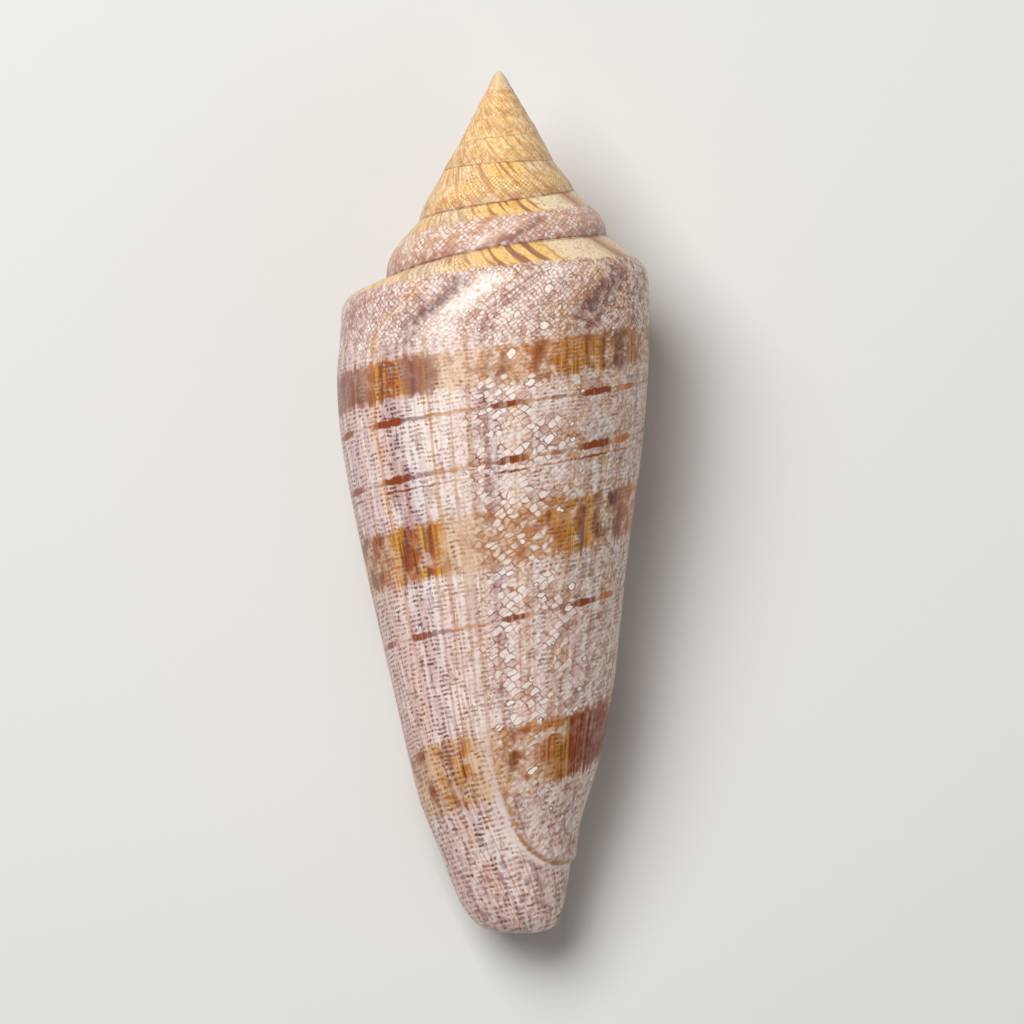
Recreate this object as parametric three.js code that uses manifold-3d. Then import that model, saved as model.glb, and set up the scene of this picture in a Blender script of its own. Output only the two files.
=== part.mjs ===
// A cone shell 110 mm long, lying mouth down. It grew as one piece, so it is one mesh.
// The shell is a sheet rolled round its axis. Each point of it has an age, counted in turns back from the
// edge of the outer lip, and a depth, measured along the axis from the tip of the spire. All lengths are
// in millimetres. X runs across the shell, +Y along it to the spire, and +Z up, away from the mouth.
import * as THREE from "three";
import { mergeVertices } from "three/addons/utils/BufferGeometryUtils.js";
import Module from "manifold-3d";

// Size and coiling. The suture is the line where each whorl meets the one before it.
const shellLength = 110;
const growthPerTurn = 1.4;
const sutureDepthAtLip = 27.05;
const sutureSlope = 0.592;
const spireTurns = 5;
const spireHollow = 0.035;
const tipWidth = 0.45;

// The two outlines of the body whorl, half a turn apart, as [depth, distance from the axis]
const lipSideAge = 0.13;
const farSideAge = 0.63;
const lipSideOutline = [
  [24, 20.6],
  [32, 21.35],
  [40, 22],
  [49, 21.4],
  [62, 19.25],
  [77, 16.4],
  [92, 13.3],
  [100, 10.55],
  [105.5, 8.6],
  [107.8, 7.3],
  [109.3, 5.7],
  [110, 3.2],
];
const farSideOutline = [
  [22, 18.1],
  [29, 18.15],
  [36, 17.95],
  [48, 16.7],
  [63, 14.2],
  [77, 12.3],
  [84, 10.85],
  [90, 8.95],
  [95.5, 6.75],
  [98.5, 6.1],
  [101, 5.75],
  [106, 4.75],
  [109.2, 3.75],
  [110, 2.1],
];

// The slope below the suture and the shoulder, which grow squarer with every turn. Each row holds an age
// and where the curve heads at its start and end, as shares of its width and of its depth.
const shoulderShapes = [
  [0.13, 1.22, 0.2, 0.78, 0.31],
  [0.63, 0.9, 0.47, 1.06, 0.32],
  [1.13, 0.6, 0.37, 0.99, 0.52],
  [1.63, 0.45, 0.4, 1.03, 0.57],
  [2.13, 0.33, 0.35, 0.88, 0.65],
  [3, 0.33, 0.34, 0.75, 0.66],
];

// The wall, which is thin at the lip and inside, and the pillar in the middle, from its waist down
const lipThickness = 1;
const wallThickness = 1.3;
const innerWallThickness = 0.65;
const pillarWaist = { depth: 60, radius: 3 };
const pillarEndRadius = 1.5;

// The hollow, two turns long, and the part of it that is open at the base
const hollowTurns = 2;
const canalTurns = 0.4;
const mouthOverrun = 0.02;
const floorOverlap = 0.05;

// How far the edge of the lip lags behind: at the base, below a depth, and in a notch at the shoulder
const baseLagTurns = 0.13;
const baseLagTop = 86;
const shoulderNotchTurns = 0.055;

// An old lip, a third of a turn back, whose lower end stands proud of the newer shell
const oldLipAge = 1 / 3;
const oldLipStep = 0.45;
const oldLipTop = 78;
const oldLipBase = 101;

// Rest pose: the shell is rolled and tipped until its lip and belly touch the surface
const restRoll = THREE.MathUtils.degToRad(6);
const restTilt = THREE.MathUtils.degToRad(7.4);
const wornDepth = 0.15;

// The length over which the side eases in below a suture
const easingLength = 8;

// Mesh density
const stepsPerTurn = 40;
const shoulderRows = 6;
const sideRows = 17;
const hollowShoulderRows = 4;
const hollowSideRows = 12;
const endCrowding = 0.72;

const { lerp, smoothstep, clamp } = THREE.MathUtils;

// A smooth line through the points of an outline, read by depth.
function outlineReader(points) {
  const curve = new THREE.SplineCurve(points.map(([depth, radius]) => new THREE.Vector2(depth, radius)));
  const samples = curve.getPoints(200);
  return (depth) => {
    const next = samples.findIndex((p) => p.x >= depth);
    if (next === 0) return samples[0].y;
    if (next < 0) return samples[samples.length - 1].y;
    const [a, b] = [samples[next - 1], samples[next]];
    return lerp(a.y, b.y, (depth - a.x) / (b.x - a.x));
  };
}
const lipSide = outlineReader(lipSideOutline);
const farSide = outlineReader(farSideOutline);

// How far the whorl has shrunk at an age: 0 on the lip side and 1 on the far side. It slows after that,
// so that a gap is left for the mouth.
function shrinkage(age) {
  if (age < lipSideAge) return 1.6 * (age - lipSideAge);
  if (age < farSideAge) return 2 * (age - lipSideAge);
  const beyond = age - farSideAge;
  return 1 + 2 * beyond - 1.9 * beyond * beyond;
}

function pillarRadius(depth) {
  return lerp(pillarWaist.radius, pillarEndRadius, smoothstep(depth, pillarWaist.depth, shellLength));
}

// Distance from the axis of the side of the whorl at an age. Past one turn the whorl is hidden inside,
// where it is a smaller copy of the whorl one turn younger.
function sideRadius(depth, age) {
  if (age <= 1) {
    return lipSide(depth) * (farSide(depth) / lipSide(depth)) ** shrinkage(age);
  }
  const behindMouth = sideRadius(depth, 1) * (1 - 0.3 * (age - 1));
  const smallerCopy = sideRadius(Math.min(depth * growthPerTurn, shellLength), age - 1) / growthPerTurn;
  return lerp(behindMouth, Math.max(smallerCopy, pillarRadius(depth)), smoothstep(age, 1, 1.35));
}

// The spire is a little hollow in outline between depths of 6 and 21, and ends in a blunt tip.
function suture(age) {
  const depth = sutureDepthAtLip * growthPerTurn ** -age;
  const hollow = spireHollow * Math.sin(Math.PI * clamp((depth - 6) / 15, 0, 1)) ** 2;
  return new THREE.Vector2(depth * sutureSlope * (1 - hollow) + tipWidth * Math.exp(-depth / 4), depth);
}

// Where the next whorl's suture lies, or would lie, on this one.
function shoulderEnd(age) {
  const next = suture(age - 1);
  return new THREE.Vector2(lerp(sideRadius(next.y, age), next.x, smoothstep(age, 0.5, 1)), next.y);
}

// The side again, eased so that it starts where the shoulder ends.
function easedSideRadius(depth, age) {
  const top = shoulderEnd(age);
  const gap = top.x - sideRadius(top.y, age);
  return sideRadius(depth, age) + gap * Math.exp((top.y - depth) / easingLength);
}

function shoulderShape(age) {
  const next = shoulderShapes.findIndex((shape) => shape[0] >= age);
  if (next === 0) return shoulderShapes[0];
  if (next < 0) return shoulderShapes[shoulderShapes.length - 1];
  const [a, b] = [shoulderShapes[next - 1], shoulderShapes[next]];
  return a.map((value, i) => lerp(value, b[i], (age - a[0]) / (b[0] - a[0])));
}

// A point of the slope and shoulder, from 0 at the suture to 1 at the side.
function shoulderPoint(age, along) {
  const start = suture(age);
  const end = shoulderEnd(age);
  const [, x1, y1, x2, y2] = shoulderShape(age);
  const towards = (x, y) => new THREE.Vector2(lerp(start.x, end.x, x), lerp(start.y, end.y, y));
  return new THREE.CubicBezierCurve(start, towards(x1, y1), towards(x2, y2), end).getPoint(along);
}

// A point of the side, from 0 at the shoulder to 1 at a base depth.
function sidePoint(age, down, base) {
  const depth = lerp(shoulderEnd(age).y, base, down);
  return new THREE.Vector2(easedSideRadius(depth, age), depth);
}

// Rows are set closer together at the shoulder and at the base, where the outline bends most.
function closerAtEnds(share) {
  return share - (endCrowding * Math.sin(2 * Math.PI * share)) / (2 * Math.PI);
}

// How many turns a growth line lags behind the edge of the lip.
function growthLag(along, depth) {
  const low = clamp((depth - baseLagTop) / (shellLength - baseLagTop), 0, 1);
  return shoulderNotchTurns * Math.sin(Math.PI * along) ** 2 + baseLagTurns * low ** 2;
}

function oldLipRise(growthAge, depth) {
  const older = smoothstep(growthAge, oldLipAge, oldLipAge + 0.02) * (1 - smoothstep(growthAge, 0.4, 0.75));
  const below = smoothstep(depth, oldLipTop, oldLipBase - 4);
  return oldLipStep * older * below * (1 - smoothstep(depth, oldLipBase, oldLipBase + 2.5));
}

// A point as [x, y, z] before the shell is laid down, with its axis along Y and its back up.
function place(radius, depth, age) {
  const angle = Math.PI - (age - lipSideAge) * 2 * Math.PI;
  return [radius * Math.cos(angle), -depth, radius * Math.sin(angle)];
}

// A vertex of the skin. Its row counts down from the suture, and the columns follow the growth lines,
// most closely at the lip.
function skinPoint(columnAge, row) {
  const along = Math.min(row / shoulderRows, 1);
  const down = closerAtEnds(Math.max(row - shoulderRows, 0) / sideRows);
  const lag = growthLag(along, lerp(shoulderEnd(columnAge).y, shellLength, down));
  const age = columnAge + lag * (1 - smoothstep(columnAge, 0.35, 1));
  const point = down > 0 ? sidePoint(age, down, shellLength) : shoulderPoint(age, along);
  return place(point.x + oldLipRise(age - lag, point.y), point.y, age);
}

// The skin is a spiral band of rows below the suture, and on the last turn the side as well. From one turn
// back, the lower edge of the band is the upper edge of the next whorl.
function outerSkin() {
  const positions = [];
  const faces = [];
  const numbers = new Map();
  const lastStep = stepsPerTurn * (1 + spireTurns);
  const lastRow = shoulderRows + sideRows;
  const vertex = (step, row) => {
    if (row === shoulderRows && step >= stepsPerTurn) return vertex(step - stepsPerTurn, 0);
    const name = `${step} ${row}`;
    if (!numbers.has(name)) {
      numbers.set(name, numbers.size);
      positions.push(...skinPoint(step / stepsPerTurn, row));
    }
    return numbers.get(name);
  };
  const corner = (i) => new THREE.Vector3().fromArray(positions, 3 * i);
  const distance = (a, b) => corner(a).distanceTo(corner(b));

  // Each patch is split along its shorter diagonal.
  for (let step = 0; step < lastStep; step++) {
    const rows = step < stepsPerTurn ? lastRow : shoulderRows;
    for (let row = 0; row < rows; row++) {
      const [a, b] = [vertex(step, row), vertex(step, row + 1)];
      const [c, d] = [vertex(step + 1, row + 1), vertex(step + 1, row)];
      if (distance(a, c) < distance(b, d)) faces.push(a, b, c, a, c, d);
      else faces.push(a, b, d, b, c, d);
    }
  }

  // The wall across the mouth, from the lip to the belly
  for (let row = 1; row < lastRow; row++) {
    faces.push(vertex(0, row), vertex(stepsPerTurn, Math.max(row, shoulderRows)), vertex(0, row + 1));
    if (row < shoulderRows) continue;
    faces.push(vertex(0, row + 1), vertex(stepsPerTurn, row), vertex(stepsPerTurn, row + 1));
  }

  // The base, and the cone at the tip
  const base = positions.push(0, -shellLength, 0) / 3 - 1;
  for (let step = 0; step < stepsPerTurn; step++) {
    faces.push(base, vertex(step + 1, lastRow), vertex(step, lastRow));
  }
  faces.push(base, vertex(0, lastRow), vertex(stepsPerTurn, lastRow));
  const tip = positions.push(0, 0, 0) / 3 - 1;
  for (let step = lastStep - stepsPerTurn; step < lastStep; step++) {
    faces.push(tip, vertex(step, 0), vertex(step + 1, 0));
  }
  for (let row = 0; row < shoulderRows; row++) {
    faces.push(tip, vertex(lastStep, row), vertex(lastStep, row + 1));
  }
  return { positions, faces };
}

// A point of a profile, moved in from the surface by the wall's thickness.
function inset(profile, share, thickness) {
  const point = profile(share);
  const direction = profile(Math.min(share + 0.01, 1)).sub(profile(share - 0.01)).normalize();
  return new THREE.Vector2(point.x - direction.y * thickness, point.y + direction.x * thickness);
}

function thicknessAt(age) {
  if (age < 1) return lerp(lipThickness, wallThickness, smoothstep(age, 0, 0.35));
  return lerp(wallThickness, innerWallThickness, smoothstep(age, 1, 1.3));
}

// The depth of the hollow's lower end. It passes through the base at the mouth and at the open canal.
function hollowBase(age) {
  if (age < canalTurns) return shellLength + 3;
  return shellLength * growthPerTurn ** (canalTurns - age) * (1 - 0.14 * smoothstep(age, 0.9, 1.4));
}

// The outline of the hollow at an age: down the inner face of the wall, and back up the whorl inside it.
// In front of the lip it stays clear of the belly.
function hollowSection(age) {
  const thickness = thicknessAt(age);
  const shoulder = (along) => shoulderPoint(age, along);
  const side = (down) => sidePoint(age, down, hollowBase(age));
  const wall = [];
  for (let i = 0; i < hollowShoulderRows; i++) {
    wall.push(inset(shoulder, 0.12 + 0.22 * i, thickness));
  }
  for (let i = 1; i <= hollowSideRows; i++) {
    wall.push(inset(side, closerAtEnds(i / hollowSideRows), thickness));
  }

  const top = suture(age).y + 1.6 * thickness;
  const bottom = wall[wall.length - 1].y;
  const inside = wall.map((_, i) => {
    const depth = lerp(top, bottom, closerAtEnds(i / (wall.length - 1)));
    return new THREE.Vector2(easedSideRadius(depth, age + 1) + (age < 0 ? 0.2 : -floorOverlap), depth);
  });
  return [...wall, ...inside.reverse()];
}

// The hollow where the animal lived, between the wall and the whorl inside it.
function livingSpace() {
  const ages = [-mouthOverrun, 0.004];
  while (ages[ages.length - 1] < hollowTurns) {
    const step = Math.round(ages[ages.length - 1] * stepsPerTurn);
    ages.push((step + (step < stepsPerTurn / 2 ? 1 : 2)) / stepsPerTurn);
  }
  const positions = ages.flatMap((age) => hollowSection(age).flatMap((p) => place(p.x, p.y, age)));
  const faces = [];
  const ring = positions.length / 3 / ages.length;
  for (let start = 0; start < positions.length / 3 - ring; start += ring) {
    for (let i = 0; i < ring; i++) {
      const [a, b] = [start + i, start + ((i + 1) % ring)];
      faces.push(a, b, b + ring, a, b + ring, a + ring);
    }
  }

  // Each end is closed by a strip from the wall's side of the outline to the inner side.
  const last = positions.length / 3 - ring;
  for (let i = 0; i < ring / 2 - 1; i++) {
    const j = ring - 1 - i;
    faces.push(i, j, i + 1, i + 1, j, j - 1);
    faces.push(last + i, last + i + 1, last + j, last + i + 1, last + j - 1, last + j);
  }
  return { positions, faces };
}

const wasm = await Module();
wasm.setup();

function toSolid({ positions, faces }) {
  return new wasm.Manifold(
    new wasm.Mesh({
      numProp: 3,
      vertProperties: new Float32Array(positions),
      triVerts: new Uint32Array(faces),
    }),
  );
}

function geometryToSolid(geometry) {
  geometry.deleteAttribute("normal");
  geometry.deleteAttribute("uv");
  const merged = mergeVertices(geometry, 1e-3);
  return toSolid({ positions: merged.attributes.position.array, faces: merged.index.array });
}

function toGeometry(solid) {
  const { vertProperties, triVerts } = solid.getMesh();
  const geometry = new THREE.BufferGeometry();
  geometry.setAttribute("position", new THREE.BufferAttribute(new Float32Array(vertProperties), 3));
  geometry.setIndex(new THREE.BufferAttribute(new Uint32Array(triVerts), 1));
  return geometry;
}

// The shell is laid on its mouth, and the spots that touch the surface are worn flat.
function layDown(geometry) {
  geometry.applyMatrix4(new THREE.Matrix4().makeRotationY(restRoll));
  geometry.applyMatrix4(new THREE.Matrix4().makeRotationX(restTilt));
  geometry.computeBoundingBox();
  const surface = new THREE.BoxGeometry(3 * shellLength, 3 * shellLength, 10);
  surface.translate(0, 0, geometry.boundingBox.min.z + wornDepth - 5);
  return toGeometry(geometryToSolid(geometry).subtract(geometryToSolid(surface)));
}

const shellSolid = toSolid(outerSkin()).subtract(toSolid(livingSpace()));
const shellGeometry = layDown(toGeometry(shellSolid)).toNonIndexed();
shellGeometry.computeVertexNormals();
shellGeometry.computeBoundingBox();
const middle = shellGeometry.boundingBox.getCenter(new THREE.Vector3());

const shell = new THREE.Mesh(
  shellGeometry,
  new THREE.MeshStandardMaterial({ color: "#c9a68c", roughness: 0.35, metalness: 0 }),
);
shell.name = "shell";
shell.position.set(-middle.x, -middle.y, -shellGeometry.boundingBox.min.z);

const coneShell = new THREE.Group();
coneShell.add(shell);

export default coneShell;
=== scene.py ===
# A glory of the sea cone shell, lying mouth down on a pale floor and seen from straight above its back.
import functools
import math

import bpy
import numpy as np
from mathutils import Matrix, Vector


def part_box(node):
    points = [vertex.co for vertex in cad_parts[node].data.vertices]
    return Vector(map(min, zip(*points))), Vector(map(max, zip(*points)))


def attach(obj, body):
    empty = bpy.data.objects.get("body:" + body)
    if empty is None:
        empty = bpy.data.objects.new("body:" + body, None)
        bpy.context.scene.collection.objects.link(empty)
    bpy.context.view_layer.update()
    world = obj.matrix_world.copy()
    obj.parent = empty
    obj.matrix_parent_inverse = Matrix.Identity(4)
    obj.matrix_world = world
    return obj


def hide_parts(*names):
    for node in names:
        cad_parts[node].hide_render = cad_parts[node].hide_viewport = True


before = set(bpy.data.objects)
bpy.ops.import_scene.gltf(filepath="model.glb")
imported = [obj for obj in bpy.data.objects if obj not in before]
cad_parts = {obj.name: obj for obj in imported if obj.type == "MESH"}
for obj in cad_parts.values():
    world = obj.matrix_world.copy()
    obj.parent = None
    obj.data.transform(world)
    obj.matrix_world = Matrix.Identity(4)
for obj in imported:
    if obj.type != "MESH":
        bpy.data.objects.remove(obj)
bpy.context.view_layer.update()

mm = 0.001
scene = bpy.context.scene

# The shell as a sheet rolled round its axis, in millimetres. A point has an age, in turns back from the
# edge of the lip, and a depth, along the axis from the tip. The axis lies along Y and the back is up.
coil = {
    "length": 110,
    "growthPerTurn": 1.4,
    "sutureDepthAtLip": 27.05,
    "sutureSlope": 0.592,
    # how far the suture strays from an even spiral, by age
    "sutureDrift": [(-0.3, 0), (0.13, 0.6), (0.38, -0.9), (0.63, -0.6), (1.13, 0.4), (1.63, -0.25),
                    (2.13, -0.6), (2.63, 0.4), (3.2, 0), (3.4, 0)],
    "spireTurns": 7,
    "spireHollow": 0.035,
    "tipWidth": 0.45,
    "easingLength": 8,
    "baseLagTurns": 0.13,
    "baseLagTop": 86,
    "shoulderNotchTurns": 0.055,
    "lipSideAge": 0.13,
    "farSideAge": 0.63,
    # the two outlines, half a turn apart, as (depth, distance from the axis)
    "lipSide": [(24, 20.6), (32, 21.35), (40, 22), (49, 21.4), (62, 19.25), (77, 16.4), (92, 13.3),
                (100, 10.55), (105.5, 8.6), (107.8, 7.3), (109.3, 5.7), (110, 3.2)],
    "farSide": [(22, 18.1), (29, 18.15), (36, 17.95), (48, 16.7), (63, 14.2), (77, 12.3), (84, 10.85),
                (90, 8.95), (95.5, 6.75), (98.5, 6.1), (101, 5.75), (106, 4.75), (109.2, 3.75), (110, 2.1)],
    # where the slope under the suture heads at its start and end, by age, as shares of width and depth
    "shoulderAges": (0.13, 0.63, 1.13, 1.63, 2.13, 3),
    "shoulderHandles": ((1.22, 0.2, 0.78, 0.31), (0.9, 0.47, 1.06, 0.32), (0.6, 0.37, 0.99, 0.52),
                        (0.45, 0.4, 1.03, 0.57), (0.33, 0.35, 0.88, 0.65), (0.33, 0.34, 0.75, 0.66)),
}

wall = {
    "lipThickness": 1,
    "thickness": 1.3,
    "innerThickness": 0.65,
    "waistDepth": 60,      # of the pillar in the middle
    "waistRadius": 3,
    "pillarEndRadius": 1.5,
    "hollowTurns": 2,
    "canalTurns": 0.4,
    "mouthOverrun": 0.02,
    "mouthFloorGap": 0.2,  # between the hollow's cutter and the belly, in front of the lip
    "floorOverlap": 0.05,
}

relief = {
    "oldLipAge": 1 / 3,
    "oldLipStep": 0.6,
    "oldLipTop": 80,
    "oldLipBase": 101.3,
    "oldLipTurn": 50,       # mm round the base per turn of growth
    "oldLipCorner": 5,
    "scarHeight": 0.07,
    "pauseHeight": 0.035,   # of the low steps where growth stopped for a while
    "threadHeight": 0.035,  # of the ridges that run round the base
    "threadSpacing": 1.15,
    "threadTop": 90,
}

rest = {"roll": 6, "tilt": 7.4, "wornDepth": 0.15}  # degrees, and how deep the spots it lies on are worn

mesh = {
    "stepsPerTurn": 240,
    "shoulderRows": 16,
    "sideRows": 140,
    "tipRows": 6,
    "baseRows": 4,
    "endCrowding": 0.3,
    "hollowShoulderRows": 10,
    "hollowSideRows": 30,
    "hollowSteps": 60,     # per turn, past the part that the mouth shows
}


def mix(a, b, share):
    return a + (b - a) * share


def smooth(x, low, high):
    t = np.clip((x - low) / (high - low), 0, 1)
    return t * t * (3 - 2 * t)


def outlineReader(points):
    # a smooth line through the points, read by depth
    points = np.array([points[0], *points, points[-1]], float)
    share = np.linspace(0, len(points) - 3, 201)
    start = np.minimum(share.astype(int), len(points) - 4)
    t = (share - start)[:, None]
    a, b, c, d = (points[start + i] for i in range(4))
    line = b + 0.5 * t * (c - a) + t**2 * (a - 2.5 * b + 2 * c - 0.5 * d)
    line = line + t**3 * (1.5 * (b - c) + 0.5 * (d - a))
    return lambda depth: np.interp(depth, line[:, 0], line[:, 1])


lipSide = outlineReader(coil["lipSide"])
farSide = outlineReader(coil["farSide"])
sutureDrift = outlineReader(coil["sutureDrift"])


def shrinkage(age):
    # 0 on the lip side and 1 on the far side, and slower past it, so that a gap is left for the mouth
    lip, beyond = age - coil["lipSideAge"], age - coil["farSideAge"]
    return np.where(lip < 0, 1.6 * lip, np.where(beyond < 0, 2 * lip, 1 + 2 * beyond - 1.9 * beyond**2))


def sideRadius(depth, age):
    lip = lipSide(depth)
    radius = lip * (farSide(depth) / lip) ** shrinkage(np.minimum(age, 1))
    if np.max(age) <= 1:
        return radius
    low = smooth(depth, wall["waistDepth"], coil["length"])
    pillar = mix(wall["waistRadius"], wall["pillarEndRadius"], low)
    copyDepth = np.minimum(depth * coil["growthPerTurn"], coil["length"])
    copy = sideRadius(copyDepth, age - 1) / coil["growthPerTurn"]
    hidden = mix(radius * (1 - 0.3 * (age - 1)), np.maximum(copy, pillar), smooth(age, 1, 1.35))
    return np.where(age <= 1, radius, hidden)


def suture(age):
    depth = coil["sutureDepthAtLip"] * coil["growthPerTurn"] ** -age
    hollow = coil["spireHollow"] * np.sin(math.pi * np.clip((depth - 6) / 15, 0, 1)) ** 2
    radius = depth * coil["sutureSlope"] * (1 - hollow) + coil["tipWidth"] * np.exp(-depth / 4)
    return radius, depth + sutureDrift(age)


def shoulderEnd(age):
    radius, depth = suture(age - 1)
    return mix(sideRadius(depth, np.minimum(age, 1)), radius, smooth(age, 0.5, 1)), depth


def easedSideRadius(depth, age):
    top, topDepth = shoulderEnd(age)
    gap = top - sideRadius(topDepth, age)
    return sideRadius(depth, age) + gap * np.exp((topDepth - depth) / coil["easingLength"])


def shoulderPoint(age, along):
    handles = [np.interp(age, coil["shoulderAges"], values) for values in zip(*coil["shoulderHandles"])]
    result = []
    for start, end, first, second in zip(suture(age), shoulderEnd(age), handles[:2], handles[2:]):
        a, b = mix(start, end, first), mix(start, end, second)
        t = along
        result.append((1 - t) ** 3 * start + 3 * t * (1 - t) ** 2 * a + 3 * t**2 * (1 - t) * b + t**3 * end)
    return result


def closerAtEnds(share, crowding):
    return share - crowding * np.sin(2 * math.pi * share) / (2 * math.pi)


def growthLag(along, depth):
    low = np.clip((depth - coil["baseLagTop"]) / (coil["length"] - coil["baseLagTop"]), 0, 1)
    return coil["shoulderNotchTurns"] * np.sin(math.pi * along) ** 2 + coil["baseLagTurns"] * low**2


def skinRise(growthAge, age, along, down, depth):
    # the old lip, which stands proud near the base and ends there in a rounded lobe
    corner = relief["oldLipCorner"]
    across = (growthAge - relief["oldLipAge"]) * relief["oldLipTurn"]
    below = depth - relief["oldLipBase"]
    inside = corner - np.hypot(np.maximum(corner - across, 0), np.maximum(corner + below, 0))
    step = smooth(inside, 0, 0.7) * smooth(depth, relief["oldLipTop"], relief["oldLipBase"] - 5)
    step *= 1 - smooth(growthAge, 0.5, 0.8)
    scar = np.exp(-(((growthAge - relief["oldLipAge"] - 0.004) / 0.004) ** 2))
    # low uneven steps where growth paused, and ridges round the base
    waves = sum(np.sin(growthAge * k + p) for k, p in ((61, 0.3), (97, 2.1), (151, 4.4), (233, 1.2)))
    threads = np.cos(depth * 2 * math.pi / relief["threadSpacing"]) * smooth(depth, relief["threadTop"], 102)
    rise = relief["scarHeight"] * scar + relief["pauseHeight"] * waves / 2 + relief["threadHeight"] * threads
    fromSeam = 1 - along + np.where(age <= 1, 20 * down + 4 * (1 - smooth(age, 0.85, 1)), 0)
    fromSuture = np.minimum(along, fromSeam)
    return relief["oldLipStep"] * step + rise * smooth(fromSuture, 0, 0.15)


def place(radius, depth, age):
    angle = math.pi - (age - coil["lipSideAge"]) * 2 * math.pi
    return np.stack([radius * np.cos(angle), -depth, radius * np.sin(angle)], -1)


def spiralRow(depth, age):
    # the level of the spiral rows and bands of colour, which climb towards the spire with age
    return depth + age * np.interp(depth, (10, 25, 45, 88, 110), (3.4, 9, 16, 16, 5))


def skin(columnAge, row):
    # a point of the skin, and what the markings need to know of it
    along = np.minimum(row / mesh["shoulderRows"], 1)
    down = np.maximum(row - mesh["shoulderRows"], 0) / mesh["sideRows"]
    down = closerAtEnds(down, mesh["endCrowding"])
    top = shoulderEnd(columnAge)[1]
    age = columnAge + growthLag(along, mix(top, coil["length"], down)) * (1 - smooth(columnAge, 0.35, 1))
    radius, depth = shoulderPoint(age, along)
    below = down > 0
    sideDepth = mix(shoulderEnd(age)[1], coil["length"], down)
    depth = np.where(below, sideDepth, depth)
    radius = np.where(below, easedSideRadius(sideDepth, age), radius)
    growthAge = age - growthLag(along, depth)
    radius = radius + skinRise(growthAge, age, along, down, depth)
    growth = np.stack([growthAge, spiralRow(depth, age) / 100], -1)
    return place(radius, depth, age), growth, np.stack([along + down, depth / 100], -1)


def thicknessAt(age):
    young = mix(wall["lipThickness"], wall["thickness"], smooth(age, 0, 0.35))
    return np.where(age < 1, young, mix(wall["thickness"], wall["innerThickness"], smooth(age, 1, 1.3)))


def inset(profile, share, thickness):
    radius, depth = profile(share)
    ahead, behind = profile(np.minimum(share + 0.01, 1)), profile(share - 0.01)
    acrossRadius, acrossDepth = ahead[0] - behind[0], ahead[1] - behind[1]
    size = thickness / np.hypot(acrossRadius, acrossDepth)
    return radius - acrossDepth * size, depth + acrossRadius * size


def hollowRing(age):
    # the hollow's outline at an age: down the inner face of the wall and back up the whorl inside it
    thickness = thicknessAt(age)
    base = coil["length"] + 3
    if age >= wall["canalTurns"]:
        lift = 1 - 0.14 * smooth(age, 0.9, 1.4)
        base = coil["length"] * coil["growthPerTurn"] ** (wall["canalTurns"] - age) * lift
    topDepth = shoulderEnd(age)[1]
    slope = inset(lambda along: shoulderPoint(age, along),
                  np.linspace(0.12, 0.9, mesh["hollowShoulderRows"]), thickness)
    sideShare = closerAtEnds(np.linspace(0, 1, mesh["hollowSideRows"] + 1)[1:], mesh["endCrowding"])
    side = inset(lambda down: (easedSideRadius(mix(topDepth, base, down), age), mix(topDepth, base, down)),
                 sideShare, thickness)
    outer = np.concatenate([np.stack(slope, -1), np.stack(side, -1)])
    top = suture(age)[1] + 1.6 * thickness
    depth = mix(top, outer[-1, 1], closerAtEnds(np.linspace(0, 1, len(outer)), mesh["endCrowding"]))
    floor = easedSideRadius(depth, np.full(len(depth), age + 1.0))
    floor += wall["mouthFloorGap"] if age < 0 else -wall["floorOverlap"]
    ring = np.concatenate([outer, np.stack([floor, depth], -1)[::-1]])
    return place(ring[:, 0], ring[:, 1], np.full(len(ring), age))


def addGrid(name, columns, rows, shape):
    # a flat grid, rolled into shape: shape gives each vertex its place from its column and row
    bpy.ops.mesh.primitive_grid_add(x_subdivisions=columns, y_subdivisions=rows, size=1, calc_uvs=False)
    grid = bpy.context.object
    grid.name = name
    flat = np.zeros(len(grid.data.vertices) * 3, np.float32)
    grid.data.vertices.foreach_get("co", flat)
    flat = flat.reshape(-1, 3)
    column = np.rint((flat[:, 0] + 0.5) * columns)
    row = np.rint((flat[:, 1] + 0.5) * rows)
    points, growth, spot = shape(column, row)
    grid.data.vertices.foreach_set("co", points.astype(np.float32).ravel())
    corners = np.zeros(len(grid.data.loops), np.int32)
    grid.data.loops.foreach_get("vertex_index", corners)
    for uvName, values in (("growth", growth), ("place", spot)):
        layer = grid.data.uv_layers.new(name=uvName)
        layer.uv.foreach_set("vector", values[corners].astype(np.float32).ravel())
    return grid


def loopShape(loop, closing):
    # rows of a grid that start as a given loop and close as a shape says, from 0 to 1
    points, growth, spot = loop

    def shape(column, row):
        i = column.astype(int) % len(points)
        return closing(points[i], row), growth[i], spot[i]

    return shape


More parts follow.
